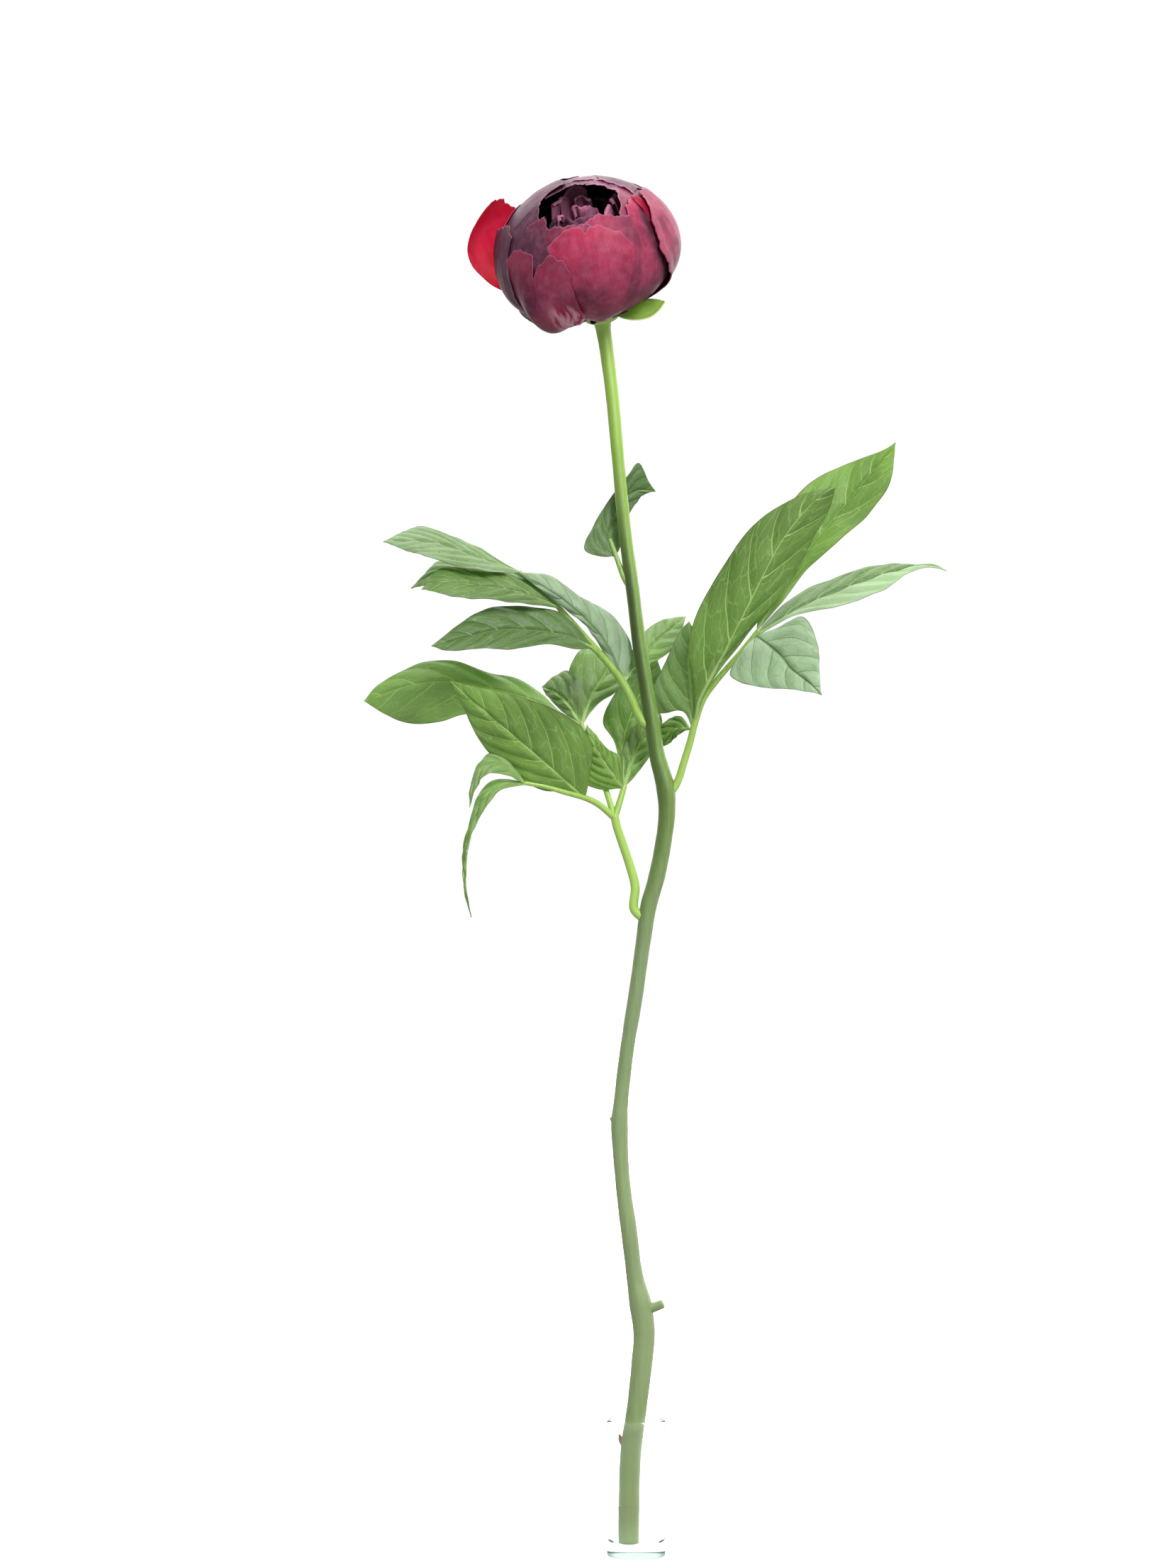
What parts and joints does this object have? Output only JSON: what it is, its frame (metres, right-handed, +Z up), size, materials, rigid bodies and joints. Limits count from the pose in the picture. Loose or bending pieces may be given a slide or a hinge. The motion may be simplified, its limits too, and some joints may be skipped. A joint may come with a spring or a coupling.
{
  "type": "peony in a bud vase",
  "caption": "Half-open dark peony with its leaves on a long wavy stem, standing in a little water in a small straight clear glass bud vase, for a table or shelf.",
  "frame": {"origin": "middle of the vase's foot, on the surface it stands on", "axes": "+Z up along the vase, -Y the front, +X to the right seen from the front"},
  "size_m": [0.2491, 0.1023, 0.5847],
  "materials": {
    "glass": "clear polished",
    "water": "clear",
    "stem_green": "satin",
    "leaf_green": "satin",
    "sepal_green": "satin",
    "petal_burgundy": "satin"
  },
  "bodies": {
    "root": {"vase": "glass", "water": "water", "stem": "stem_green", "leaf_upper_left": "leaf_green", "leaf_lower_left": "leaf_green", "leaf_right": "leaf_green", "leaf_top": "leaf_green", "calyx": "sepal_green", "bloom": "petal_burgundy"}
  },
  "joints": []
}
